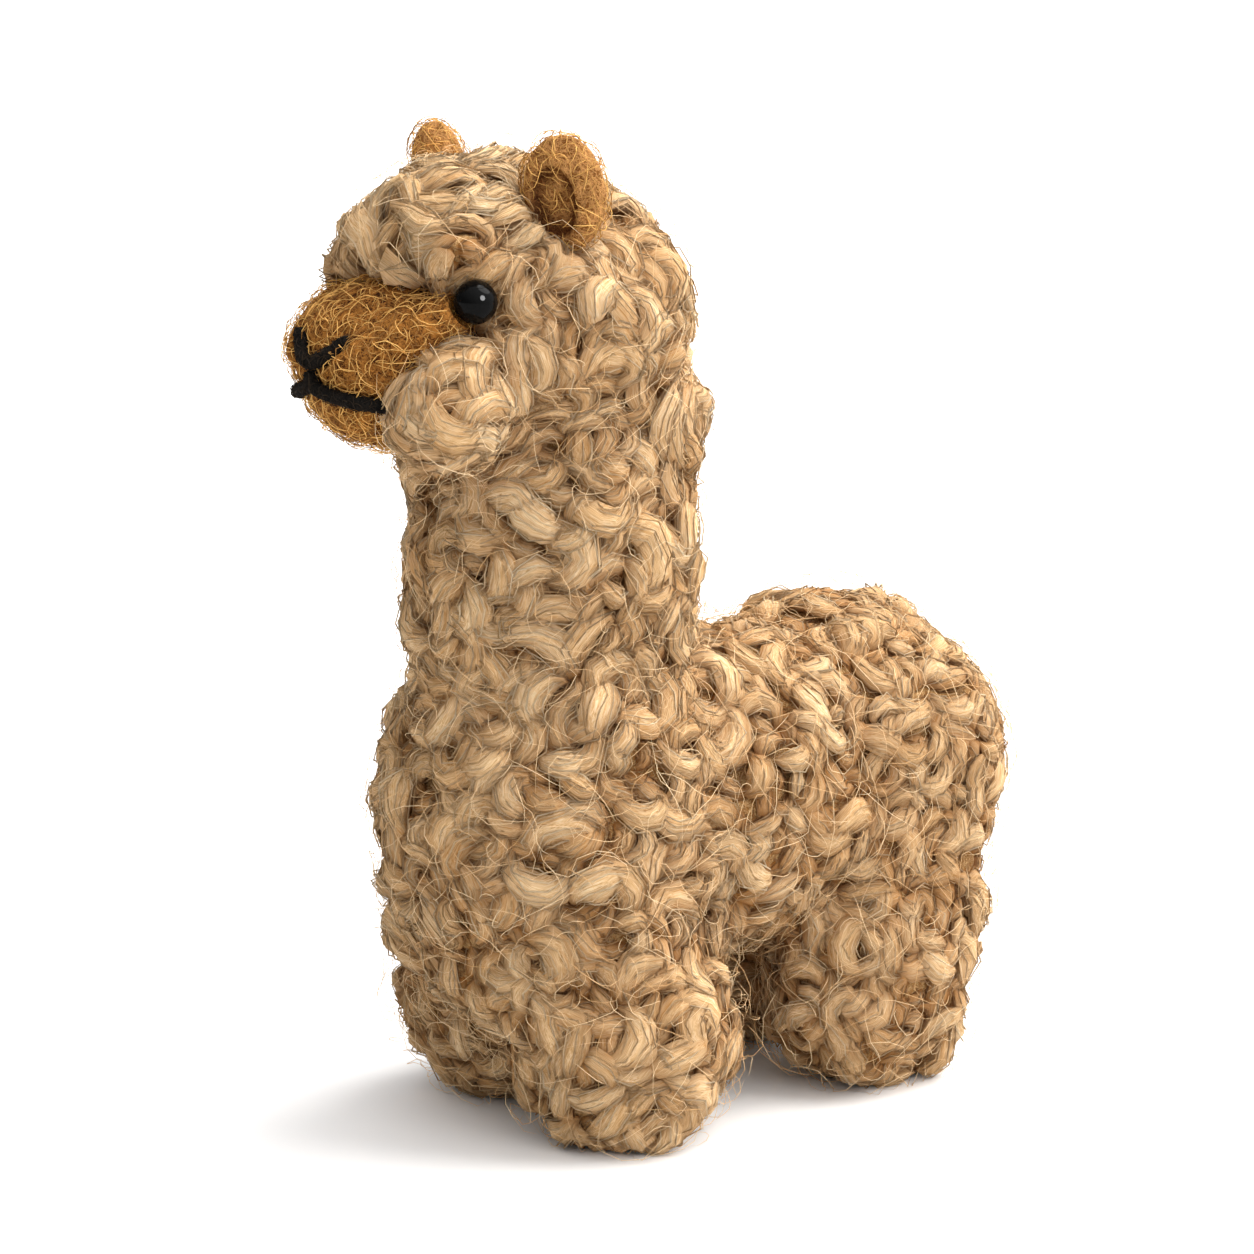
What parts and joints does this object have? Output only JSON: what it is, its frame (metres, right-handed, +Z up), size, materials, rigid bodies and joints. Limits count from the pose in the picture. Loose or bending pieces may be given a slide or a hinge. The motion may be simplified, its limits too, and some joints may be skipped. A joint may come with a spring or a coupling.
{
  "type": "felted alpaca toy",
  "caption": "Small needle-felted alpaca figure with a curly cream fleece, brown felt snout and ears, and black bead eyes, standing on stubby legs.",
  "frame": {"origin": "middle of the toy's outline seen from above, on the surface that it stands on", "axes": "+Z up, -Y the way the toy faces, +X the toy's own left side"},
  "size_m": [0.0532, 0.1014, 0.1202],
  "materials": {
    "cream_wool": "curled cream-beige wool locks, matt, browner in the creases",
    "brown_felt": "orange-brown needle-felted wool with short tangled fibres",
    "black_bead": "glossy black moulded bead",
    "black_wool": "black wool strand, matt"
  },
  "bodies": {
    "root": {"fleece_body": "cream_wool", "muzzle": "brown_felt", "ear_left": "brown_felt", "ear_right": "brown_felt", "eye_left": "black_bead", "eye_right": "black_bead", "nose_strand": "black_wool", "mouth_strand": "black_wool"}
  },
  "joints": []
}
